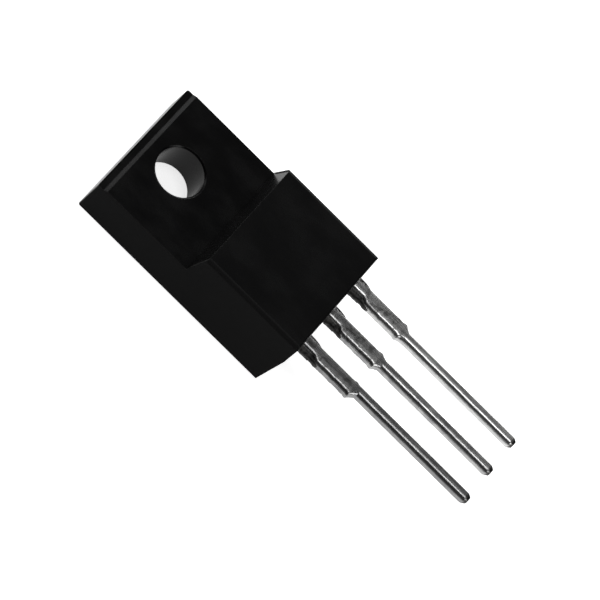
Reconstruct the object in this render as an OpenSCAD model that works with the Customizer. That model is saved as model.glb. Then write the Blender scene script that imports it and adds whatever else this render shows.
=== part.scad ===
// Power transistor in a fully moulded flat case with three stamped leads.
// Millimetres. Origin on the back (seating) face at the mounting hole's centre.
// +Z leaves the front face, +Y runs to the tab's end, the leads run to -Y, X is across the case.

/* [Moulded case] */
// case width at the back face, its widest place
case_back_width = 9.95; // [9.6:0.05:10.4]
// case width at the front face of the thick part
case_front_width = 8.65; // [8.5:0.05:9.2]
// thickness of the thick part, back face to front face
case_thickness = 4.5; // [4.4:0.05:4.8]
// thickness of the thin tab round the screw hole
tab_thickness = 2.55; // [2.5:0.05:2.75]
// distance from the hole's centre to the tab's end
hole_to_tab_end = 3; // [2.8:0.05:3.2]
// distance from the hole's centre to the foot of the slope up to the thick part
hole_to_shoulder = 4.1; // [3.8:0.05:4.4]
// how far the slope runs back on its way up
shoulder_run = 0.48; // [0.3:0.02:0.7]
// distance from the hole's centre to the foot face where the leads leave
hole_to_foot = 12; // [11.9:0.05:12.4]
// how far the foot face leans in from the leads down to the back face
foot_lean = 0.32; // [0.1:0.02:0.4]
// length of the lowered strip along the tab's end
end_strip_length = 0.44; // [0.3:0.02:0.7]
// how far that strip lies below the tab's front face
end_strip_drop = 0.14; // [0.06:0.02:0.24]
// length of the short slope between the tab's front face and the strip
end_strip_run = 0.24; // [0.1:0.02:0.3]
// radius of the two upright corners at the tab's end
tab_corner_radius = 0.15; // [0.1:0.05:0.6]
// radius along the front edges of the thick part
front_edge_radius = 0.3; // [0.15:0.05:0.45]

/* [Mounting hole] */
// bore of the screw hole through the tab
hole_diameter = 3.2; // [3:0.05:3.4]
// size of the bevel at the hole's front rim
hole_bevel = 0.1; // [0.05:0.05:0.2]

/* [Leads] */
// distance between the centres of neighbouring leads
lead_pitch = 2.54; // [2.5:0.01:2.58]
// thickness of the lead strip
lead_thickness = 0.5; // [0.4:0.05:0.6]
// height of the leads' lower face above the back face
lead_height = 2.55; // [2.45:0.05:2.65]
// width of the short neck where a lead leaves the case, cut in on one side only
neck_width = 0.82; // [0.7:0.02:0.96]
// length of that neck
neck_length = 1; // [0.8:0.05:1.2]
// width of the broad part left by the cut tie bar
broad_width = 1.06; // [1:0.02:1.3]
// distance from the foot face to the end of the broad part
broad_reach = 4.1; // [3.6:0.1:4.6]
// how far an outer lead's broad part stands outside the line of its pin
broad_offset = 0.14; // [0:0.02:0.2]
// width of the slender rest of the lead
pin_width = 0.62; // [0.5:0.02:0.8]
// distance from the foot face to a lead's tip
pin_reach = 13.6; // [13:0.1:14.4]
// length of each step in a lead's width
width_step_length = 0.42; // [0.3:0.02:0.6]
// how far the resin left beside each neck lies below the lead's upper face
flash_drop = 0.14; // [0.14:0.02:0.24]
// bevel rolled onto the leads' upper edges by the stamping
edge_roll = 0.11; // [0.05:0.01:0.14]
// length of the taper at a lead's tip
tip_taper = 0.3; // [0.2:0.05:0.5]

/* [Copper inside the case] */
// width of the copper plate that carries the chip
plate_width = 7.4; // [7:0.1:7.6]
// thickness of that plate
plate_thickness = 1; // [0.8:0.05:1.1]
// height of the plate's lower face above the back face
plate_height = 0.65; // [0.6:0.05:0.75]
// distance from the hole's centre to the plate's end by the tab
plate_tab_end = 1.5; // [1.2:0.1:1.8]
// distance from the foot face to the plate's near end
foot_to_plate = 2.7; // [2.6:0.05:2.8]
// radius of the notch in the plate round the screw hole
plate_notch_radius = 2.4; // [2.2:0.05:2.5]
// width of the sloped link between plate and centre lead
link_width = 1.5; // [1.2:0.05:1.6]
// width of the post at the inner end of each outer lead
post_width = 1.9; // [1.6:0.05:2]
// length of that post
post_length = 1.25; // [1.1:0.05:1.3]
// distance from the foot face to the near side of a post
post_depth = 1.1; // [1:0.05:1.15]

/* [Chip and wires] */
// chip size across the case
chip_width = 3.4; // [2.8:0.1:4]
// chip size along the case
chip_length = 4; // [3:0.1:4.2]
// chip thickness
chip_thickness = 0.25; // [0.2:0.01:0.3]
// distance from the foot face to the chip's centre
foot_to_chip = 5.2; // [5.1:0.05:5.4]
// thickness of the solder under the chip
solder_thickness = 0.05; // [0.04:0.01:0.08]
// how far the solder shows round the chip
solder_margin = 0.1; // [0.05:0.01:0.2]
// diameter of the thin wire to the control lead
thin_wire_diameter = 0.2; // [0.15:0.01:0.25]
// diameter of the thick wire to the power lead
thick_wire_diameter = 0.38; // [0.3:0.01:0.42]

/* [Hidden] */
round_facets = 64;
wire_facets = 24;
// room that a cutter runs past what it cuts
past = 1;
// neighbouring wedges along a lead's edge overlap by this much, so nothing stays between them
wedge_overlap = 0.1;
// a rounding's arc is this much larger than its tangent circle, so it crosses both faces cleanly
arc_ease = 1.005;
// the foot face stands upright above this height and leans in below it
foot_knee_height = lead_height + lead_thickness / 2;
tab_end_y = hole_to_tab_end;
foot_y = -hole_to_foot;
// the chip and the plate's near end keep their places from the foot face
plate_foot_y = foot_y + foot_to_plate;
chip_y = foot_y + foot_to_chip;
// the sides lean in by the same slope from the back face to the front face
side_lean = (case_back_width - case_front_width) / 2 / case_thickness;
side_angle = atan(side_lean);
// the leads' upper face
lead_top = lead_height + lead_thickness;
plate_top = plate_height + plate_thickness;
chip_bottom = plate_top + solder_thickness;
chip_top = chip_bottom + chip_thickness;
// outer leads: where their inner posts begin and end
post_near_y = foot_y + post_depth;
post_far_y = post_near_y + post_length;
// sloped link: its upper line runs from the plate's top up to the leads' top
link_low_y = plate_foot_y - 0.1;
link_high_y = post_far_y - post_length / 2;
link_rise = lead_top - plate_top;
link_angle = atan2(link_rise, link_low_y - link_high_y);
// the same line, one thickness lower, meets the two lower faces this far along
link_shift = lead_thickness * tan(link_angle / 2);
link_root = 0.2;
// wire feet, pressed flat on what they are bonded to
foot_flat = 0.6;
foot_spread = 1.3;
foot_stretch = 2.6;
thin_start = [-chip_width / 4, chip_y - chip_length / 3];
thin_end = [-lead_pitch, post_far_y - post_length / 2];
thick_start = [chip_width / 5, chip_y];
thick_end = [lead_pitch, post_far_y - post_length / 2];
// loop radius as a share of the straight distance between a wire's two feet
loop_share = 0.64;

// a lead's two edges outside the case, from the foot face to the tip; the tie bar's punch cut
// the neck in on the -X side only, and shift moves the broad part off the pin's line
function left_edge(shift) = [
    [shift + broad_width / 2 - neck_width, foot_y],
    [shift + broad_width / 2 - neck_width, foot_y - neck_length],
    [shift - broad_width / 2, foot_y - neck_length - width_step_length],
    [shift - broad_width / 2, foot_y - broad_reach],
    [-pin_width / 2, foot_y - broad_reach - width_step_length],
    [-pin_width / 2, foot_y - pin_reach + tip_taper],
    [-pin_width / 4, foot_y - pin_reach]
];
function right_edge(shift) = [
    [shift + broad_width / 2, foot_y],
    [shift + broad_width / 2, foot_y - broad_reach],
    [pin_width / 2, foot_y - broad_reach - width_step_length],
    [pin_width / 2, foot_y - pin_reach + tip_taper],
    [pin_width / 4, foot_y - pin_reach]
];

// side view of the case, extruded across it
module case_side_view() {
    r = front_edge_radius / 2;
    polygon([
        [tab_end_y, 0],
        [tab_end_y, tab_thickness - end_strip_drop],
        [tab_end_y - end_strip_length, tab_thickness - end_strip_drop],
        [tab_end_y - end_strip_length - end_strip_run, tab_thickness],
        [-hole_to_shoulder, tab_thickness],
        [-hole_to_shoulder - shoulder_run, case_thickness],
        [foot_y + r, case_thickness],
        [foot_y + r * (1 - sin(45)), case_thickness - r * (1 - sin(45))],
        [foot_y, case_thickness - r],
        [foot_y, foot_knee_height],
        [foot_y + foot_lean, 0]
    ]);
}

// front view of the case seen along its length: both sides lean in
module case_end_view() {
    half_back = case_back_width / 2;
    half_front = case_front_width / 2;
    polygon([[-half_back, 0], [-half_front, case_thickness], [half_front, case_thickness], [half_back, 0]]);
}

// cuts one long front edge of the thick part round: the arc touches the front face and the side
module front_edge_cut() {
    r = front_edge_radius;
    reach = r + past;
    length = hole_to_tab_end + hole_to_foot + 2 * past;
    translate([case_front_width / 2 - r * tan((90 - side_angle) / 2), tab_end_y + past, case_thickness - r])
        rotate([90, 0, 0])
            difference() {
                linear_extrude(height = length)
                    polygon([[0, 0], [0, reach], [reach, reach],
                        [reach * cos(side_angle), reach * sin(side_angle)]]);
                translate([0, 0, -past])
                    cylinder(r = r * arc_ease, h = length + 2 * past, $fn = round_facets);
            }
}

// cuts one upright corner of the tab's end round, along the leaning side
module tab_corner_cut() {
    r = tab_corner_radius;
    translate([case_back_width / 2, tab_end_y, 0])
        rotate([0, -side_angle, 0])
            translate([-r, -r, -past])
                difference() {
                    cube([r + past, r + past, case_thickness + 2 * past]);
                    translate([0, 0, -past])
                        cylinder(r = r * arc_ease, h = case_thickness + 4 * past, $fn = round_facets);
                }
}

module case_blank() {
    intersection() {
        translate([-case_back_width / 2 - past, 0, 0])
            rotate([90, 0, 90])
                linear_extrude(height = case_back_width + 2 * past) case_side_view();
        translate([0, tab_end_y + past, 0])
            rotate([90, 0, 0])
                linear_extrude(height = hole_to_tab_end + hole_to_foot + 2 * past) case_end_view();
    }
}

// resin that leaked along each neck as far as the tie bar and stayed there when the bar was cut
module neck_flash(line, shift) {
    inside = foot_lean + past / 4;
    translate([line + shift - broad_width / 2, foot_y - neck_length, lead_height])
        cube([broad_width - neck_width, neck_length + inside, lead_thickness - flash_drop]);
}

module moulded_case() {
    color([0.05, 0.05, 0.055])
    difference() {
        union() {
            case_blank();
            for (side = [-1 : 1]) neck_flash(side * lead_pitch, side * broad_offset);
        }
        // screw hole with its rim bevel
        translate([0, 0, -past])
            cylinder(d = hole_diameter, h = tab_thickness + 2 * past, $fn = round_facets);
        translate([0, 0, tab_thickness - hole_bevel])
            cylinder(d1 = hole_diameter, d2 = hole_diameter + 4 * hole_bevel, h = 2 * hole_bevel,
                $fn = round_facets);
        tab_corner_cut();
        mirror([1, 0, 0]) tab_corner_cut();
        front_edge_cut();
        mirror([1, 0, 0]) front_edge_cut();
        // the compound fills every space round the pieces it was moulded over
        centre_leadframe_shape();
        outer_lead_shape(-1);
        outer_lead_shape(1);
        chip_shape();
        solder_shape();
        thin_wire_shape();
        thick_wire_shape();
    }
}

// flat strip of a lead outside the case, cut to its stepped outline
module lead_strip(inner_y, shift) {
    left = left_edge(shift);
    right = right_edge(shift);
    difference() {
        translate([0, 0, lead_height])
            linear_extrude(height = lead_thickness)
                polygon(concat([[left[0][0], inner_y]], left,
                    [for (i = [len(right) - 1 : -1 : 0]) right[i]], [[right[0][0], inner_y]]));
        for (i = [0 : len(left) - 3]) lead_edge_cut(left[i], left[i + 1]);
        for (i = [0 : len(right) - 3]) lead_edge_cut(right[i], right[i + 1]);
    }
}

// the wedge taken off one stretch of a lead's upper edge, ending where the next begins
module lead_edge_cut(from, to) {
    run = to - from;
    length = norm(run);
    translate([from[0], from[1], lead_top])
        rotate([0, 0, atan2(run[1], run[0])])
            translate([length / 2, 0, 0])
                rotate([45, 0, 0])
                    cube([length + wedge_overlap, edge_roll * sqrt(2), edge_roll * sqrt(2)], center = true);
}

// copper plate, sloped link and centre lead, stamped and bent from one strip
module centre_leadframe_shape() {
    difference() {
        translate([-plate_width / 2, plate_foot_y, plate_height])
            cube([plate_width, plate_tab_end - plate_foot_y, plate_thickness]);
        translate([0, 0, plate_height - past])
            cylinder(r = plate_notch_radius, h = plate_thickness + 2 * past, $fn = round_facets);
    }
    translate([-link_width / 2, 0, 0])
        rotate([90, 0, 90])
            linear_extrude(height = link_width)
                polygon([
                    [plate_foot_y + link_root, plate_top],
                    [link_low_y, plate_top],
                    [link_high_y, lead_top],
                    [post_near_y, lead_top],
                    [post_near_y, lead_height],
                    [link_high_y - link_shift, lead_height],
                    [link_low_y - link_shift, plate_top - lead_thickness],
                    [plate_foot_y + link_root, plate_top - lead_thickness]
                ]);
    lead_strip(post_near_y + past / 2, 0);
}

module centre_leadframe() {
    color([0.72, 0.72, 0.7]) centre_leadframe_shape();
}

// outer lead with the broad post inside the case that a wire is bonded to
module outer_lead_shape(side) {
    translate([side * lead_pitch, 0, 0]) {
        lead_strip(post_near_y + past / 4, side * broad_offset);
        translate([-post_width / 2, post_near_y, lead_height])
            cube([post_width, post_length, lead_thickness]);
    }
}

module control_lead() {
    color([0.72, 0.72, 0.7]) outer_lead_shape(-1);
}

module power_lead() {
    color([0.72, 0.72, 0.7]) outer_lead_shape(1);
}

module chip_shape() {
    translate([-chip_width / 2, chip_y - chip_length / 2, chip_bottom])
        cube([chip_width, chip_length, chip_thickness]);
}

module chip() {
    color([0.3, 0.3, 0.34]) chip_shape();
}

module solder_shape() {
    translate([-chip_width / 2 - solder_margin, chip_y - chip_length / 2 - solder_margin, plate_top])
        cube([chip_width + 2 * solder_margin, chip_length + 2 * solder_margin, solder_thickness]);
}

module chip_solder() {
    color([0.6, 0.6, 0.58]) solder_shape();
}

// wire drawn as an arc between two pressed feet: start on the chip, end on a post
module bond_wire(start, end, d) {
    run = end - start;
    flat = d * foot_flat;
    rise = lead_top - chip_top;
    span = norm([norm(run), rise]);
    radius = span * loop_share;
    sag = sqrt(radius * radius - span * span / 4);
    // centre of the loop, measured along the run and upwards from the first foot's top
    centre_run = norm(run) / 2 + sag * rise / span;
    centre_up = rise / 2 - sag * norm(run) / span;
    first = atan2(-centre_up, -centre_run);
    last = atan2(rise - centre_up, norm(run) - centre_run);
    translate([start[0], start[1], chip_top])
        rotate([0, 0, atan2(run[1], run[0])]) {
            translate([centre_run, 0, centre_up + flat])
                rotate([90, 0, 0])
                    rotate([0, 0, last])
                        rotate_extrude(angle = first - last, $fn = 4 * wire_facets)
                            translate([radius, 0]) circle(d = d, $fn = wire_facets);
            translate([0, 0, flat / 2])
                cube([d * foot_stretch, d * foot_spread, flat], center = true);
            translate([norm(run), 0, rise + flat / 2])
                cube([d * foot_stretch, d * foot_spread, flat], center = true);
        }
}

module thin_wire_shape() {
    bond_wire(thin_start, thin_end, thin_wire_diameter);
}

module thin_wire() {
    color([0.8, 0.8, 0.82]) thin_wire_shape();
}

module thick_wire_shape() {
    bond_wire(thick_start, thick_end, thick_wire_diameter);
}

module thick_wire() {
    color([0.8, 0.8, 0.82]) thick_wire_shape();
}

moulded_case();
centre_leadframe();
control_lead();
power_lead();
chip();
chip_solder();
thin_wire();
thick_wire();
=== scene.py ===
import bmesh
import bpy
from math import pi
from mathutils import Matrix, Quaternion, Vector, noise


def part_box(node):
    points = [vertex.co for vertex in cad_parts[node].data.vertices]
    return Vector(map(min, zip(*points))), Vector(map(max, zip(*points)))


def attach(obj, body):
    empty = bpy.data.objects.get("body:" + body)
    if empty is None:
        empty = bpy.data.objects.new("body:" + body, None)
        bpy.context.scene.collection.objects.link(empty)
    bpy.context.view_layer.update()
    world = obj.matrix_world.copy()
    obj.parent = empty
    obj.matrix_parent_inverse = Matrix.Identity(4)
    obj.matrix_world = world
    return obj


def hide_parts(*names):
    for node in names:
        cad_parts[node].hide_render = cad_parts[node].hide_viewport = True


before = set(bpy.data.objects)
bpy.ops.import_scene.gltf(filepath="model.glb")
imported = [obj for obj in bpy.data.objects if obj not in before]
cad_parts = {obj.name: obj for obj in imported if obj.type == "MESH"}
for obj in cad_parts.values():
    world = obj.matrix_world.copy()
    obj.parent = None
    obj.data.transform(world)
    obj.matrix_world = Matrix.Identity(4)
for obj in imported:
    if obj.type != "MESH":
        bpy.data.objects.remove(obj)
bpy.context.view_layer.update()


# ---------------------------------------------------------------- stamped leads
# The three leads and the plate under the chip are punched from one copper strip 0.5 mm
# thick. The punch rolls their upper edges over and leaves small burrs where the tie bar was
# cut. After moulding, what stands out of the case is dipped in tin; the rest stays copper.

CASE_FOOT = -12.0          # where the leads come out of the plastic, mm along Y
IN_PLASTIC = -11.5         # each dipped part starts this deep inside the case
LEAD_PITCH = 2.54
LEAD_TOP, LEAD_UNDERSIDE = 3.05, 2.55
NECK_WIDTH, BROAD_WIDTH, PIN_WIDTH, TIP_WIDTH = 0.82, 1.06, 0.66, 0.48
PIN_SHIFT = 0.055          # the punch leaves each pin this far right of its grid line
BROAD_OFFSET = 0.14        # an outer lead's broad part stands this far outside its pin's line
NECK_END, BROAD_START, BROAD_END, PIN_START = -13.0, -13.42, -16.1, -16.52
TAPER_START, LEAD_TIP = -25.36, -25.65
TIP_CUT = 0.07             # how much more the tip's left corner loses
LEFT_ROLL, RIGHT_ROLL, LOWER_ROLL = 0.33, 0.03, 0.05    # how far each long edge is rounded over
WAVER, BURR = 0.03, 0.035  # unevenness of the long edges; the burrs' height
LIP, LIP_REACH, LIP_BACK = 0.06, 0.24, 0.06    # metal pushed out just before the broad part's end
TIP_PINCH = 0.13           # how much thinner each face of a lead gets at its tip
RING_POINTS, RINGS = 36, 300   # points round a lead, and steps along it

TIN_DULL, TIN_CLEAN = (0.32, 0.32, 0.325), (0.48, 0.48, 0.475)
# the right lead's tin is painted lighter, as painted light, and the left lead's darker, as
# painted shade
TIN_PAINTED_LIGHT_RIGHT_LEAD, TIN_PAINTED_SHADE_LEFT_LEAD = (0.78, 0.78, 0.775), (0.19, 0.19, 0.192)
# the colour of flux by the necks, also used as painted shade on the tapered tips
FLUX_STAIN_AND_TIP_SHADE = (0.065, 0.064, 0.062)
COPPER_DARK, COPPER_BRIGHT = (0.62, 0.30, 0.18), (0.78, 0.42, 0.27)

def new_finish(name):
    """An empty finish: its nodes, its links, its shader and the piece's own place in mm."""
    finish = bpy.data.materials.new(name)
    finish.use_nodes = True
    nodes, links = finish.node_tree.nodes, finish.node_tree.links
    shader = nodes["Principled BSDF"]
    place = nodes.new("ShaderNodeTexCoord")
    in_mm = nodes.new("ShaderNodeMapping")
    in_mm.inputs["Scale"].default_value = (1000, 1000, 1000)
    links.new(place.outputs["Object"], in_mm.inputs["Vector"])
    return finish, nodes, links, shader, in_mm.outputs["Vector"]

def cloud(nodes, links, place, scale, detail=3.0, stretch=(1, 1, 1), rough=0.55):
    """Soft noise from 0 to 1, in cycles a millimetre, drawn out along an axis if asked."""
    turned = nodes.new("ShaderNodeMapping")
    turned.inputs["Scale"].default_value = stretch
    links.new(place, turned.inputs["Vector"])
    mottle = nodes.new("ShaderNodeTexNoise")
    mottle.inputs["Scale"].default_value = scale
    mottle.inputs["Detail"].default_value = detail
    mottle.inputs["Roughness"].default_value = rough
    links.new(turned.outputs["Vector"], mottle.inputs["Vector"])
    return mottle.outputs["Fac"]

def spread(nodes, links, value, low, high, to_low, to_high):
    """Stretches the part of a value between low and high over to_low to to_high."""
    ramp = nodes.new("ShaderNodeMapRange")
    ramp.interpolation_type = "SMOOTHSTEP"
    ramp.inputs["From Min"].default_value = low
    ramp.inputs["From Max"].default_value = high
    ramp.inputs["To Min"].default_value = to_low
    ramp.inputs["To Max"].default_value = to_high
    links.new(value, ramp.inputs["Value"])
    return ramp.outputs["Result"]

def both(nodes, links, kind, first, second=0):
    """One sum on two values, each a link or a plain number."""
    sum_node = nodes.new("ShaderNodeMath")
    sum_node.operation = kind
    for socket, value in zip(sum_node.inputs, (first, second)):
        if isinstance(value, (int, float)):
            socket.default_value = value
        else:
            links.new(value, socket)
    return sum_node.outputs["Value"]

def tint(nodes, links, amount, first, second):
    """Goes from the first colour to the second with amount; each a link or a colour."""
    mix = nodes.new("ShaderNodeMix")
    mix.data_type = "RGBA"
    links.new(amount, mix.inputs["Factor"])
    for index, colour in ((6, first), (7, second)):
        if isinstance(colour, tuple):
            mix.inputs[index].default_value = (*colour, 1)
        else:
            links.new(colour, mix.inputs[index])
    return mix.outputs[2]

def relief(nodes, links, height, depth_mm, under=None):
    """A height pattern as bumps of the given depth, laid over another normal if given."""
    bump = nodes.new("ShaderNodeBump")
    bump.inputs["Strength"].default_value = 1
    bump.inputs["Distance"].default_value = depth_mm / 1000
    links.new(height, bump.inputs["Height"])
    if under is not None:
        links.new(under, bump.inputs["Normal"])
    return bump.outputs["Normal"]

def tinned_copper():
    """Tin outside the case, darker where flux and resin stay by the neck, painted lighter on the
    right lead and darker on the left lead as painted light and shade, with painted shade on the
    tapered tips; copper inside.
    """
    finish, nodes, links, shader, mm = new_finish("tinned_copper")
    along = nodes.new("ShaderNodeSeparateXYZ")
    links.new(mm, along.inputs["Vector"])
    tinned = spread(nodes, links, along.outputs["Y"], CASE_FOOT + 0.04, CASE_FOOT - 0.02, 0, 1)
    drawn = cloud(nodes, links, mm, 1.0, 4, (9, 0.5, 9))
    puddled = cloud(nodes, links, mm, 1.3, 4)
    grain = cloud(nodes, links, mm, 15, 3)
    tin = tint(nodes, links, spread(nodes, links, puddled, 0.35, 0.65, 0, 1),
               TIN_DULL, TIN_CLEAN)
    near_case = spread(nodes, links, along.outputs["Y"], PIN_START, BROAD_END + 0.6, 0, 0.8)
    stain_and_tip_shade = both(nodes, links, "MULTIPLY", near_case,
                 spread(nodes, links, cloud(nodes, links, mm, 2.1, 4), 0.47, 0.6, 0.15, 1))
    stain_and_tip_shade = both(nodes, links, "MULTIPLY", stain_and_tip_shade, spread(
        nodes, links, along.outputs["Z"], LEAD_TOP - 0.16, LEAD_TOP - 0.02, 0.2, 1))
    # painted shade: the last part of each tapered tip is painted dark where the stripe of light
    # along the lead ends
    painted_tip_shade = spread(nodes, links, along.outputs["Y"], LEAD_TIP + 0.3, LEAD_TIP + 0.12, 0, 1)
    stain_and_tip_shade = both(nodes, links, "MAXIMUM", stain_and_tip_shade, painted_tip_shade)
    # painted light and shade: the tin is painted lighter towards the right lead and darker
    # towards the left lead
    tin = tint(nodes, links, spread(nodes, links, along.outputs["X"], 0.6, 2.2, 0, 0.45),
               tin, TIN_PAINTED_LIGHT_RIGHT_LEAD)
    tin = tint(nodes, links, spread(nodes, links, along.outputs["X"], -1.9, -0.9, 0.55, 0),
               tin, TIN_PAINTED_SHADE_LEFT_LEAD)
    tin = tint(nodes, links, stain_and_tip_shade, tin, FLUX_STAIN_AND_TIP_SHADE)
    copper = tint(nodes, links, spread(nodes, links, drawn, 0.35, 0.65, 0, 1),
                  COPPER_DARK, COPPER_BRIGHT)
    links.new(tint(nodes, links, tinned, copper, tin), shader.inputs["Base Color"])
    shader.inputs["Metallic"].default_value = 1
    gloss = both(nodes, links, "ADD",
                 spread(nodes, links, drawn, 0.3, 0.7, 0.235, 0.29),
                 both(nodes, links, "MULTIPLY", stain_and_tip_shade, 0.04))
    links.new(gloss, shader.inputs["Roughness"])
    lines = relief(nodes, links, drawn, 0.0014)
    links.new(relief(nodes, links, grain, 0.0007, lines), shader.inputs["Normal"])
    return finish

def stamping():
    """The rule that all three leads follow: a rounded bar, stepped from neck to pin."""
    rule = bpy.data.node_groups.new("stamped_lead", "GeometryNodeTree")
    rule.interface.new_socket(name="Geometry", in_out="OUTPUT", socket_type="NodeSocketGeometry")
    sizes = ("Line", "Neck Left", "Neck Right", "Broad Left", "Broad Right", "Pin Left",
             "Pin Right", "Tip Left", "Tip Right", "Neck End", "Broad Start", "Broad End",
             "Pin Start", "Taper Start", "Tip", "Inner End", "Top", "Underside", "Left Roll",
             "Right Roll", "Lower Roll", "Burr", "Seed")
    for name in sizes:
        rule.interface.new_socket(name=name, in_out="INPUT", socket_type="NodeSocketFloat")
    rule.interface.new_socket(name="Metal", in_out="INPUT", socket_type="NodeSocketMaterial")
    nodes, links = rule.nodes, rule.links
    given = nodes.new("NodeGroupInput").outputs

    def feed(kind, settings=(), **values):
        """A new step of the rule: its settings, then its inputs by name, or by number as _0."""
        step = nodes.new(kind)
        for key, setting in dict(settings).items():
            setattr(step, key, setting)
        for key, value in values.items():
            socket = step.inputs[int(key[1:]) if key[0] == "_" else key.replace("_", " ")]
            if hasattr(value, "is_output"):
                links.new(value, socket)
            else:
                socket.default_value = value
        return step.outputs

    def sum_of(kind, first, second=0.0):
        return feed("ShaderNodeMath", {"operation": kind}, _0=first, _1=second)[0]

    def pick(test, otherwise, chosen):
        """One of two sizes: chosen where the test holds."""
        return feed("GeometryNodeSwitch", {"input_type": "FLOAT"},
                    Switch=test, **{"False": otherwise, "True": chosen})[0]

    ring = feed("GeometryNodeCurvePrimitiveCircle", Resolution=RING_POINTS, Radius=1.0)["Curve"]
    ring = feed("GeometryNodeTransform", Geometry=ring, Rotation=(0, 0, pi / RING_POINTS))[0]
    start = feed("ShaderNodeCombineXYZ", Y=given["Inner End"])[0]
    end = feed("ShaderNodeCombineXYZ", Y=given["Tip"])[0]
    spine = feed("GeometryNodeCurvePrimitiveLine", Start=start, End=end)[0]
    spine = feed("GeometryNodeResampleCurve", Curve=spine, Count=RINGS)[0]
    bar = feed("GeometryNodeCurveToMesh", Curve=spine, Profile_Curve=ring, Fill_Caps=True)[0]

    place = feed("GeometryNodeInputPosition")[0]
    axes = feed("ShaderNodeSeparateXYZ", Vector=place)
    across, along, up = axes[0], axes[1], axes[2]

    def stepped(side):
        """Where one long edge stands: by the neck, the broad part, the pin and the tip."""
        edge = given["Neck " + side]
        for begin, finish, to in (("Neck End", "Broad Start", "Broad "),
                                  ("Broad End", "Pin Start", "Pin "),
                                  ("Taper Start", "Tip", "Tip ")):
            edge = feed("ShaderNodeMapRange", Value=along, From_Min=given[begin],
                        From_Max=given[finish], To_Min=edge, To_Max=given[to + side])["Result"]
        return edge

    ends = feed("ShaderNodeMapRange", Value=along, From_Min=given["Taper Start"],
                From_Max=given["Tip"], To_Min=0.0, To_Max=1.0)["Result"]
    at_left = feed("FunctionNodeCompare", {"data_type": "FLOAT", "operation": "LESS_THAN"},
                   _0=across, _1=0.0)[0]
    on_top = feed("FunctionNodeCompare", {"data_type": "FLOAT", "operation": "GREATER_THAN"},
                  _0=up, _1=0.0)[0]
    upper_roll = pick(at_left, given["Right Roll"], given["Left Roll"])
    roll = pick(on_top, given["Lower Roll"], upper_roll)
    roll = sum_of("MULTIPLY", roll, sum_of("SUBTRACT", 1.0, sum_of("MULTIPLY", ends, 0.5)))

    # uneven edges: a slow waver along each, burrs on the broad part's left edge where the tie
    # bar was cut off, and a lip at the broad part's end
    walk = feed("ShaderNodeCombineXYZ", X=pick(at_left, 0.7, -0.7), Y=along,
                Z=given["Seed"])[0]
    waver = feed("ShaderNodeTexNoise", Vector=walk, Scale=1.6, Detail=2.0)["Fac"]
    waver = sum_of("MULTIPLY", sum_of("SUBTRACT", waver, 0.5), WAVER)
    jag = feed("ShaderNodeTexNoise", Vector=walk, Scale=3.4, Detail=1.0)["Fac"]
    jag = feed("ShaderNodeMapRange", Value=jag, From_Min=0.5, From_Max=0.72,
               To_Min=0.0, To_Max=given["Burr"])["Result"]
    by_broad_part = feed("ShaderNodeMapRange", Value=along,
                         From_Min=sum_of("SUBTRACT", given["Broad End"], 0.1),
                         From_Max=sum_of("ADD", given["Broad End"], 0.1),
                         To_Min=0.0, To_Max=1.0)["Result"]
    burrs = sum_of("MULTIPLY", jag, by_broad_part)
    corner = sum_of("ADD", given["Broad End"], LIP_BACK)
    from_corner = sum_of("ABSOLUTE", sum_of("SUBTRACT", along, corner))
    lip = feed("ShaderNodeMapRange", {"interpolation_type": "SMOOTHSTEP"}, Value=from_corner,
               From_Min=0.0, From_Max=LIP_REACH, To_Min=LIP, To_Max=0.0)["Result"]
    left = sum_of("SUBTRACT", stepped("Left"), sum_of("ADD", waver, sum_of("ADD", burrs, lip)))
    right = sum_of("ADD", stepped("Right"), sum_of("ADD", sum_of("MULTIPLY", waver, 0.6), lip))
    at_left_edge = sum_of("ADD", left, sum_of("MULTIPLY", roll, sum_of("ADD", across, 1.0)))
    at_right_edge = sum_of("SUBTRACT", right,
                           sum_of("MULTIPLY", roll, sum_of("SUBTRACT", 1.0, across)))
    x = sum_of("ADD", pick(at_left, at_right_edge, at_left_edge), given["Line"])
    pinch = sum_of("MULTIPLY", sum_of("POWER", ends, 1.6), TIP_PINCH)
    top = sum_of("SUBTRACT", given["Top"], pinch)
    low = sum_of("ADD", given["Underside"], pinch)
    at_top = sum_of("SUBTRACT", top, sum_of("MULTIPLY", roll, sum_of("SUBTRACT", 1.0, up)))
    at_low = sum_of("ADD", low, sum_of("MULTIPLY", roll, sum_of("ADD", up, 1.0)))
    z = pick(on_top, at_low, at_top)
    moved = feed("ShaderNodeCombineXYZ", X=x, Y=along, Z=z)[0]
    bar = feed("GeometryNodeSetPosition", Geometry=bar, Position=moved)[0]
    bar = feed("GeometryNodeTransform", Geometry=bar, Scale=(0.001, 0.001, 0.001))[0]
    facing = feed("ShaderNodeSeparateXYZ", Vector=feed("GeometryNodeInputNormal")[0])[1]
    round_face = feed("FunctionNodeCompare", {"data_type": "FLOAT", "operation": "LESS_THAN"},
                      _0=sum_of("ABSOLUTE", facing), _1=0.95)[0]
    bar = feed("GeometryNodeSetShadeSmooth", Geometry=bar, Shade_Smooth=round_face)[0]
    bar = feed("GeometryNodeRealizeInstances", Geometry=bar)[0]
    bar = feed("GeometryNodeSetMaterial", Geometry=bar, Material=given["Metal"])[0]
    out = nodes.new("NodeGroupOutput")
    links.new(bar, out.inputs["Geometry"])
    return rule

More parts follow.
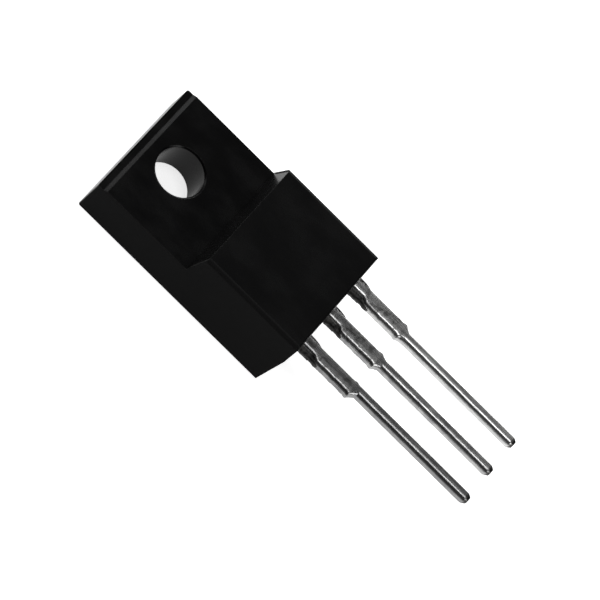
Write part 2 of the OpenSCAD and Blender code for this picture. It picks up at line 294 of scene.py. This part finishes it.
def copper_in_plastic(node):
    """The part of a packed lead that the plastic hides, cut off just inside the case's foot."""
    copper = bmesh.new()
    copper.from_mesh(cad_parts[node].data)
    bmesh.ops.remove_doubles(copper, verts=copper.verts, dist=1e-7)
    everything = copper.verts[:] + copper.edges[:] + copper.faces[:]
    cut = bmesh.ops.bisect_plane(copper, geom=everything, dist=1e-8, clear_inner=True,
                                 plane_co=(0, (IN_PLASTIC - 0.1) / 1000, 0), plane_no=(0, 1, 0))
    rim = [edge for edge in cut["geom_cut"] if isinstance(edge, bmesh.types.BMEdge)]
    bmesh.ops.edgeloop_fill(copper, edges=rim)
    return copper

lead_finish = tinned_copper()
lead_rule = stamping()
socket_of = {item.name: item.identifier for item in lead_rule.interface.items_tree
             if item.in_out == "INPUT"}

def tinned_lead(name, node, line, offset, seed):
    """One whole lead: dipped outside the case, bare copper inside it."""
    maker = bpy.data.objects.new(name + "_maker", bpy.data.meshes.new(name + "_maker"))
    bpy.context.scene.collection.objects.link(maker)
    stamp = maker.modifiers.new("stamp", "NODES")
    stamp.node_group = lead_rule
    broad_right = offset + BROAD_WIDTH / 2
    for size, value in (
            ("Line", line), ("Seed", seed), ("Burr", BURR), ("Metal", lead_finish),
            ("Neck Left", broad_right - NECK_WIDTH), ("Neck Right", broad_right),
            ("Broad Left", offset - BROAD_WIDTH / 2), ("Broad Right", broad_right),
            ("Pin Left", PIN_SHIFT - PIN_WIDTH / 2), ("Pin Right", PIN_SHIFT + PIN_WIDTH / 2),
            ("Tip Left", PIN_SHIFT - TIP_WIDTH / 2 + TIP_CUT),
            ("Tip Right", PIN_SHIFT + TIP_WIDTH / 2),
            ("Neck End", NECK_END), ("Broad Start", BROAD_START), ("Broad End", BROAD_END),
            ("Pin Start", PIN_START), ("Taper Start", TAPER_START), ("Tip", LEAD_TIP),
            ("Inner End", IN_PLASTIC), ("Top", LEAD_TOP), ("Underside", LEAD_UNDERSIDE),
            ("Left Roll", LEFT_ROLL), ("Right Roll", RIGHT_ROLL), ("Lower Roll", LOWER_ROLL)):
        stamp[socket_of[size]] = value
    bpy.context.view_layer.update()
    as_stamped = maker.evaluated_get(bpy.context.evaluated_depsgraph_get())
    dipped = bpy.data.meshes.new_from_object(as_stamped)
    bpy.data.objects.remove(maker)
    whole = copper_in_plastic(node)
    whole.from_mesh(dipped)
    mesh = bpy.data.meshes.new(name)
    whole.to_mesh(mesh)
    whole.free()
    mesh.materials.clear()
    mesh.materials.append(lead_finish)
    for face in mesh.polygons:
        face.material_index = 0
    lead = bpy.data.objects.new(name, mesh)
    bpy.context.scene.collection.objects.link(lead)
    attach(lead, "root")
    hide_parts(node)
    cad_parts[node].material_slots[0].material = lead_finish

tinned_lead("tinned_centre_lead", "centre_leadframe", 0.0, 0.0, 3.0)
tinned_lead("tinned_control_lead", "control_lead", -LEAD_PITCH, -BROAD_OFFSET, 11.0)
tinned_lead("tinned_power_lead", "power_lead", LEAD_PITCH, BROAD_OFFSET, 27.0)


# ---------------------------------------------------------------- die solder
# A foil of soft solder 0.05 mm thick, melted between the plate and the chip. It spreads a
# little past the chip's edges and sets with a dull, pitted grey skin.

SOLDER_DARK, SOLDER_PALE = (0.30, 0.30, 0.31), (0.52, 0.52, 0.53)

def set_solder():
    """Dull grey metal with a pitted skin."""
    finish, nodes, links, shader, mm = new_finish("set_solder")
    skin = cloud(nodes, links, mm, 3, 5)
    links.new(tint(nodes, links, spread(nodes, links, skin, 0.35, 0.65, 0, 1),
                   SOLDER_DARK, SOLDER_PALE), shader.inputs["Base Color"])
    shader.inputs["Metallic"].default_value = 1
    links.new(spread(nodes, links, skin, 0.3, 0.7, 0.34, 0.6), shader.inputs["Roughness"])
    links.new(relief(nodes, links, cloud(nodes, links, mm, 9, 4), 0.01), shader.inputs["Normal"])
    return finish

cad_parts["chip_solder"].material_slots[0].material = set_solder()


# ---------------------------------------------------------------- silicon chip
# A slice of silicon a quarter of a millimetre thick, sawn from its wafer. Its face is
# covered by fine rows of cells under an aluminium skin, with a bare border all round.

BARE_BORDER = 0.2          # width of the chip's rim without aluminium, mm
SILICON_DARK, SILICON_PALE = (0.055, 0.058, 0.066), (0.11, 0.115, 0.13)
CELL_DARK, CELL_PALE = (0.66, 0.67, 0.68), (0.80, 0.80, 0.81)

def close_to(nodes, links, value, centre, near, far):
    """1 where a value lies within near of centre, falling to 0 at far."""
    away = both(nodes, links, "ABSOLUTE", both(nodes, links, "SUBTRACT", value, centre))
    return spread(nodes, links, away, near, far, 1, 0)

def diced_silicon():
    """Sawn dark silicon, with rows of cells under aluminium on its face."""
    finish, nodes, links, shader, mm = new_finish("diced_silicon")
    low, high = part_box("chip")
    middle = (low + high) * 500
    reach = (high - low) * 500 - Vector((BARE_BORDER, BARE_BORDER, 0))
    face = high.z * 1000
    across = nodes.new("ShaderNodeSeparateXYZ")
    links.new(mm, across.inputs["Vector"])
    inside = both(nodes, links, "MULTIPLY", *(
        close_to(nodes, links, across.outputs[axis], centre, edge - 0.04, edge)
        for axis, centre, edge in (("X", middle.x, reach.x), ("Y", middle.y, reach.y))))
    top = spread(nodes, links, across.outputs["Z"], face - 0.02, face - 0.005, 0, 1)
    skin = both(nodes, links, "MULTIPLY", inside, top)
    rows = nodes.new("ShaderNodeTexWave")
    rows.wave_type = "BANDS"
    rows.bands_direction = "Y"
    rows.inputs["Scale"].default_value = 3.2
    rows.inputs["Distortion"].default_value = 0
    links.new(mm, rows.inputs["Vector"])
    sawn = cloud(nodes, links, mm, 3, 3, (1, 1, 12))
    silicon = tint(nodes, links, sawn, SILICON_DARK, SILICON_PALE)
    metal = tint(nodes, links, rows.outputs["Fac"], CELL_DARK, CELL_PALE)
    links.new(tint(nodes, links, skin, silicon, metal), shader.inputs["Base Color"])
    links.new(skin, shader.inputs["Metallic"])
    links.new(spread(nodes, links, sawn, 0.3, 0.7, 0.14, 0.3), shader.inputs["Roughness"])
    links.new(relief(nodes, links, rows.outputs["Fac"], 0.002), shader.inputs["Normal"])
    return finish

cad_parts["chip"].material_slots[0].material = diced_silicon()


# ---------------------------------------------------------------- bonded wires
# Two loops of bare aluminium wire, rubbed on by an ultrasonic tool: a thin one for the
# control lead and a thick one for the load. Drawing leaves fine lines along them.

ALUMINIUM_DARK, ALUMINIUM_PALE = (0.62, 0.63, 0.64), (0.84, 0.84, 0.85)

def drawn_aluminium():
    """Soft bare aluminium with fine lines along the wire."""
    finish, nodes, links, shader, mm = new_finish("drawn_aluminium")
    lines = cloud(nodes, links, mm, 1, 4, (24, 2, 24))
    links.new(tint(nodes, links, lines, ALUMINIUM_DARK, ALUMINIUM_PALE),
              shader.inputs["Base Color"])
    shader.inputs["Metallic"].default_value = 1
    links.new(spread(nodes, links, lines, 0.3, 0.7, 0.22, 0.4), shader.inputs["Roughness"])
    links.new(relief(nodes, links, lines, 0.004), shader.inputs["Normal"])
    return finish

wire_finish = drawn_aluminium()
for wire in ("thin_wire", "thick_wire"):
    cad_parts[wire].material_slots[0].material = wire_finish


# ---------------------------------------------------------------- moulded case
# Black epoxy compound with silica filler, moulded round everything above in one shot. The
# tool's polished faces leave it smooth and half glossy, with a fine grain from the filler,
# and the corners that rub against their neighbours in the tube turn a little grey; that grey
# is also a painted edge highlight. The thick part's rounded side edges carry a painted sheen,
# and the tab is painted darker than the thick part, as painted shade.

TAB_FRONT = 2.55           # height of the fixing tab's front face, mm
SHOULDER_FOOT = -4.1       # where the slope up to the thick part starts, mm along Y
SIDE_AT_BACK, SIDE_LEAN = 4.975, 0.1444    # half the back's width; how far a side leans in a mm
EDGE_WEAR_AND_SHEEN = 0.05           # radius that the softened corners show, rubbed and with a painted edge highlight, mm

COMPOUND_DARK, COMPOUND_PALE = (0.0020, 0.0020, 0.0021), (0.0029, 0.0029, 0.0030)
# PAINTED_EDGE_SHEEN is a painted sheen for the thick part's rounded edges
# the thick part's black is painted lighter than the tab's, which leaves painted shade on the tab
THICK_PART_PAINTED_LIGHTER, PAINTED_EDGE_SHEEN = (0.0034, 0.0034, 0.0035), (0.0060, 0.0060, 0.0061)
# RUBBED_AND_EDGE_SHEEN is the rubbed corners' grey, which is also a painted edge highlight
THIN_RESIN, RUBBED_AND_EDGE_SHEEN = (0.024, 0.023, 0.022), (0.009, 0.009, 0.0093)

def worn_and_sheened_edges(nodes, links, radius_mm):
    """1 on the corners that handling reaches, where the painted edge highlight goes too, 0 on the
    flats; the softened and plain normals.
    """
    soft = nodes.new("ShaderNodeBevel")
    soft.samples = 6
    soft.inputs["Radius"].default_value = radius_mm / 1000
    flat = nodes.new("ShaderNodeNewGeometry")
    turn = nodes.new("ShaderNodeVectorMath")
    turn.operation = "DOT_PRODUCT"
    links.new(soft.outputs["Normal"], turn.inputs[0])
    links.new(flat.outputs["Normal"], turn.inputs[1])
    worn_and_sheened = spread(nodes, links, turn.outputs["Value"], 0.995, 0.85, 0, 1)
    return worn_and_sheened, soft.outputs["Normal"], flat.outputs["Normal"]

def moulding_compound():
    """Black, half glossy in front and matt on the sides, greyer on rubbed corners that also carry
    a painted edge highlight; a painted sheen on the thick part's rounded edges, and painted shade
    darkening the tab.
    """
    finish, nodes, links, shader, mm = new_finish("moulding_compound")
    axes = nodes.new("ShaderNodeSeparateXYZ")
    links.new(mm, axes.inputs["Vector"])
    across, along, up = (axes.outputs[axis] for axis in "XYZ")
    sideways = both(nodes, links, "ADD", both(nodes, links, "ABSOLUTE", across),
                    both(nodes, links, "MULTIPLY", up, SIDE_LEAN))
    raised = spread(nodes, links, up, TAB_FRONT + 0.1, TAB_FRONT + 0.6, 0, 0.2)
    flank = spread(nodes, links, sideways, SIDE_AT_BACK - 0.06, SIDE_AT_BACK - 0.02, 0, 1)
    side = spread(nodes, links, both(nodes, links, "ADD", sideways, raised),
                  SIDE_AT_BACK - 0.06, SIDE_AT_BACK - 0.02, 0, 1)
    # painted sheen: a band along the thick part's rounded side edges is painted lighter
    painted_sheen_band = both(nodes, links, "SUBTRACT", side, flank)
    filler = cloud(nodes, links, mm, 9, 3)
    flow = cloud(nodes, links, mm, 0.55, 4, (1, 0.6, 1))
    edge, edge_normal, plain_normal = worn_and_sheened_edges(nodes, links, EDGE_WEAR_AND_SHEEN)
    hollow = both(nodes, links, "MULTIPLY",
                  close_to(nodes, links, along, SHOULDER_FOOT, 0.1, 0.14),
                  close_to(nodes, links, up, TAB_FRONT, 0.1, 0.14))
    edge = both(nodes, links, "MULTIPLY", edge, both(nodes, links, "SUBTRACT", 1, hollow))
    edge_normal = tint(nodes, links, hollow, edge_normal, plain_normal)
    black = tint(nodes, links, spread(nodes, links, flow, 0.35, 0.65, 0, 1),
                 COMPOUND_DARK, COMPOUND_PALE)
    # painted shade: the tab is kept darker than the thick part, with the tone rising with height
    painted_light_by_height = spread(nodes, links, up, TAB_FRONT + 0.2, TAB_FRONT + 1.6, 0, 1)
    black = tint(nodes, links, painted_light_by_height, black, THICK_PART_PAINTED_LIGHTER)
    black = tint(nodes, links, painted_sheen_band, black, PAINTED_EDGE_SHEEN)
    squeezed_out = spread(nodes, links, along, CASE_FOOT - 0.02, CASE_FOOT - 0.1, 0, 1)
    black = tint(nodes, links, squeezed_out, black, THIN_RESIN)
    # rubbed grey on the corners, which is also a painted edge highlight
    rubbed_and_edge_sheen = both(nodes, links, "MULTIPLY", edge,
                  spread(nodes, links, cloud(nodes, links, mm, 2.2, 3), 0.4, 0.62, 0.35, 1))
    links.new(tint(nodes, links, rubbed_and_edge_sheen, black, RUBBED_AND_EDGE_SHEEN), shader.inputs["Base Color"])
    shader.inputs["Specular IOR Level"].default_value = 0.12
    gloss = both(nodes, links, "ADD",
                 spread(nodes, links, flow, 0.3, 0.7, 0.22, 0.29),
                 both(nodes, links, "MULTIPLY", rubbed_and_edge_sheen, 0.12))
    gloss = both(nodes, links, "MAXIMUM", gloss, both(nodes, links, "MULTIPLY", side, 0.78))
    links.new(gloss, shader.inputs["Roughness"])
    links.new(relief(nodes, links, filler, 0.0005, edge_normal), shader.inputs["Normal"])
    return finish

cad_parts["moulded_case"].material_slots[0].material = moulding_compound()


# ---------------------------------------------------------------- squeezed-out resin
# Where the mould closes on the lead strip, liquid resin runs out along both edges of each
# neck and sets there. Trimming tears it off, and what stays is a thin, uneven dark tongue.

TONGUE_STEPS = 34          # cross-sections along a tongue
TONGUE_ROOT = 0.06         # how deep a tongue starts inside the case, mm
FULL_TO = 0.75             # a tongue keeps its width to this far past the neck's end, mm
RESIN_DARK, RESIN_PALE = (0.006, 0.006, 0.006), (0.05, 0.048, 0.045)

def resin_skin():
    """Smeared, half matt resin, from black to dark grey where it is thin."""
    finish, nodes, links, shader, mm = new_finish("squeezed_resin")
    smear = cloud(nodes, links, mm, 2.6, 4)
    links.new(tint(nodes, links, spread(nodes, links, smear, 0.4, 0.64, 0, 1),
                   RESIN_DARK, RESIN_PALE), shader.inputs["Base Color"])
    shader.inputs["Specular IOR Level"].default_value = 0.25
    links.new(spread(nodes, links, smear, 0.35, 0.65, 0.3, 0.55), shader.inputs["Roughness"])
    links.new(relief(nodes, links, cloud(nodes, links, mm, 6, 4), 0.02), shader.inputs["Normal"])
    return finish

def resin_tongue(resin, neck_edge, outward, width, into, length, step_out, drops, seed):
    """One tongue along a neck's edge, from inside the case to where it thins out.

    It reaches width past the edge and into onto the lead, and moves step_out with the edge
    where the neck widens; drops are the depths of its upper points under the lead's top.
    """
    rings = []
    for step in range(TONGUE_STEPS + 1):
        y = CASE_FOOT + TONGUE_ROOT - (length + TONGUE_ROOT) * step / TONGUE_STEPS
        stepped = min(1.0, max(0.0, (NECK_END - y) / (NECK_END - BROAD_START)))
        edge = neck_edge + outward * step_out * stepped
        full_to = NECK_END + FULL_TO
        gone = max(0.0, (full_to - y) / (full_to - CASE_FOOT + length))
        left = max(0.02, 1 - gone ** 2.5)
        ragged = (noise.noise(Vector((seed, y * 3.4, 0.3)))
                  + 0.5 * noise.noise(Vector((seed, y * 8.0, 4.1))))
        out = (width - step_out * stepped) * left * (1 + 0.3 * ragged)
        sag = 0.05 * ragged + 0.2 * (1 - left)
        shape = [(-into * left, drops[0]), (-0.1 * into, drops[1]), (0.55 * out, drops[2]),
                 (0.86 * out, drops[3]), (out, drops[4])]
        ring = [(edge + outward * x, LEAD_TOP - drop - sag) for x, drop in shape]
        ring += [(edge + outward * 0.92 * out, LEAD_UNDERSIDE + 0.04 + 0.3 * sag),
                 (edge + outward * 0.6 * out, LEAD_UNDERSIDE - 0.02 + 0.3 * sag),
                 (edge - outward * 0.5 * into, LEAD_UNDERSIDE + 0.05)]
        rings.append([resin.verts.new((x / 1000, y / 1000, z / 1000)) for x, z in ring])
    for first, second in zip(rings, rings[1:]):
        for corner in range(len(first)):
            after = (corner + 1) % len(first)
            side = (first[corner], first[after], second[after], second[corner])
            resin.faces.new(side).smooth = True
    resin.faces.new(rings[0])
    resin.faces.new(rings[-1])

tongues = bmesh.new()
for line, offset, seed in ((-LEAD_PITCH, -BROAD_OFFSET, 3.0), (0.0, 0.0, 17.0),
                           (LEAD_PITCH, BROAD_OFFSET, 41.0)):
    right_edge = line + offset + BROAD_WIDTH / 2
    resin_tongue(tongues, right_edge - NECK_WIDTH, -1, 0.30, 0.13, 1.75, BROAD_WIDTH - NECK_WIDTH,
                 (0.07, 0.05, 0.09, 0.13, 0.27), seed)
    resin_tongue(tongues, right_edge, 1, 0.17, 0.05, 1.35, 0.0,
                 (0.02, 0.0, 0.01, 0.03, 0.12), seed + 5)
bmesh.ops.recalc_face_normals(tongues, faces=tongues.faces[:])
tongue_mesh = bpy.data.meshes.new("resin_by_necks")
tongues.to_mesh(tongue_mesh)
tongues.free()
tongue_mesh.materials.append(resin_skin())
resin_by_necks = bpy.data.objects.new("resin_by_necks", tongue_mesh)
bpy.context.scene.collection.objects.link(resin_by_necks)
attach(resin_by_necks, "root")


# ---------------------------------------------------------------- table, lights, camera
# The transistor lies on its back on a sheet of white card. A wide, low soft box stands to
# its right, weaker ones behind it, by its leads and overhead, and a dim card to its left.

TABLE_HALF, CARD_TOP = 0.9, -0.00002    # metres
CARD_WHITE = (0.80, 0.80, 0.80, 1)
CARD_TO_CAMERA, CARD_IN_GLOSS = 0.75, 0.6    # what the card adds where it is seen, or mirrored
ROOM_LIGHT, ROOM_TO_CAMERA = 0.04, 1.0

table_mesh = bpy.data.meshes.new("white_card")
table_mesh.from_pydata([(x * TABLE_HALF, y * TABLE_HALF, CARD_TOP)
                        for x, y in ((-1, -1), (1, -1), (1, 1), (-1, 1))], [], [(0, 1, 2, 3)])
table = bpy.data.objects.new("white_card", table_mesh)
bpy.context.scene.collection.objects.link(table)

def white_card():
    """Matt white card, seen and mirrored as plain white, with the object's shadow on it."""
    card = bpy.data.materials.new("white_card")
    card.use_nodes = True
    nodes, links = card.node_tree.nodes, card.node_tree.links
    shader = nodes["Principled BSDF"]
    shader.inputs["Base Color"].default_value = CARD_WHITE
    shader.inputs["Roughness"].default_value = 0.9
    shader.inputs["Specular IOR Level"].default_value = 0.0
    shader.inputs["Emission Color"].default_value = (1, 1, 1, 1)
    seen = nodes.new("ShaderNodeLightPath")
    lift = both(nodes, links, "MAXIMUM",
                both(nodes, links, "MULTIPLY", seen.outputs["Is Camera Ray"], CARD_TO_CAMERA),
                both(nodes, links, "MULTIPLY", seen.outputs["Is Glossy Ray"], CARD_IN_GLOSS))
    links.new(lift, shader.inputs["Emission Strength"])
    return card

table_mesh.materials.append(white_card())

def soft_lamp(name, toward, distance, width, height, watts):
    """A soft box that stands off in one direction and faces the part's middle."""
    lamp = bpy.data.lights.new(name, "AREA")
    lamp.shape = "RECTANGLE"
    lamp.size, lamp.size_y = width, height
    lamp.energy = watts
    holder = bpy.data.objects.new(name, lamp)
    middle = Vector((0, -0.008, 0.002))
    away = Vector(toward).normalized()
    holder.location = middle + away * distance
    holder.rotation_mode = "QUATERNION"
    holder.rotation_quaternion = away.to_track_quat("Z", "Y")
    bpy.context.scene.collection.objects.link(holder)

soft_lamp("low_lamp_right", (0.89, 0.24, 0.36), 0.5, 0.62, 0.25, 3.3)
soft_lamp("lamp_behind", (0.20, 0.85, 0.50), 0.5, 0.30, 0.30, 0.55)
soft_lamp("lamp_by_leads", (-0.20, -0.85, 0.50), 0.5, 0.30, 0.26, 0.9)
soft_lamp("lamp_overhead", (0.12, -0.07, 1.0), 0.6, 0.20, 0.20, 0.58)
soft_lamp("dim_card_left", (-1.0, -0.05, 0.14), 0.5, 0.3, 0.3, 0.06)

world = bpy.data.worlds.new("pale_room")
bpy.context.scene.world = world
world.use_nodes = True
room_nodes, room_links = world.node_tree.nodes, world.node_tree.links
room = room_nodes["Background"]
seen = room_nodes.new("ShaderNodeLightPath")
level = room_nodes.new("ShaderNodeMapRange")
level.inputs["To Min"].default_value = ROOM_LIGHT
level.inputs["To Max"].default_value = ROOM_TO_CAMERA
room_links.new(seen.outputs["Is Camera Ray"], level.inputs["Value"])
room_links.new(level.outputs["Result"], room.inputs["Strength"])
room.inputs["Color"].default_value = (1, 1, 1, 1)

# lens, place and turn as fitted to the photo's edges, hole rims and lead lines
photographer = bpy.data.cameras.new("photographer")
photographer.sensor_width = 36
photographer.lens = 265.254
photographer.clip_start = 0.01
standing = bpy.data.objects.new("photographer", photographer)
standing.location = (-0.1431325, 0.0126979, 0.2198028)
standing.rotation_mode = "QUATERNION"
standing.rotation_quaternion = Quaternion((0.87827519, 0.07128805, -0.28029074, -0.38077263))
bpy.context.scene.collection.objects.link(standing)
bpy.context.scene.camera = standing
bpy.context.scene.view_settings.view_transform = "Standard"
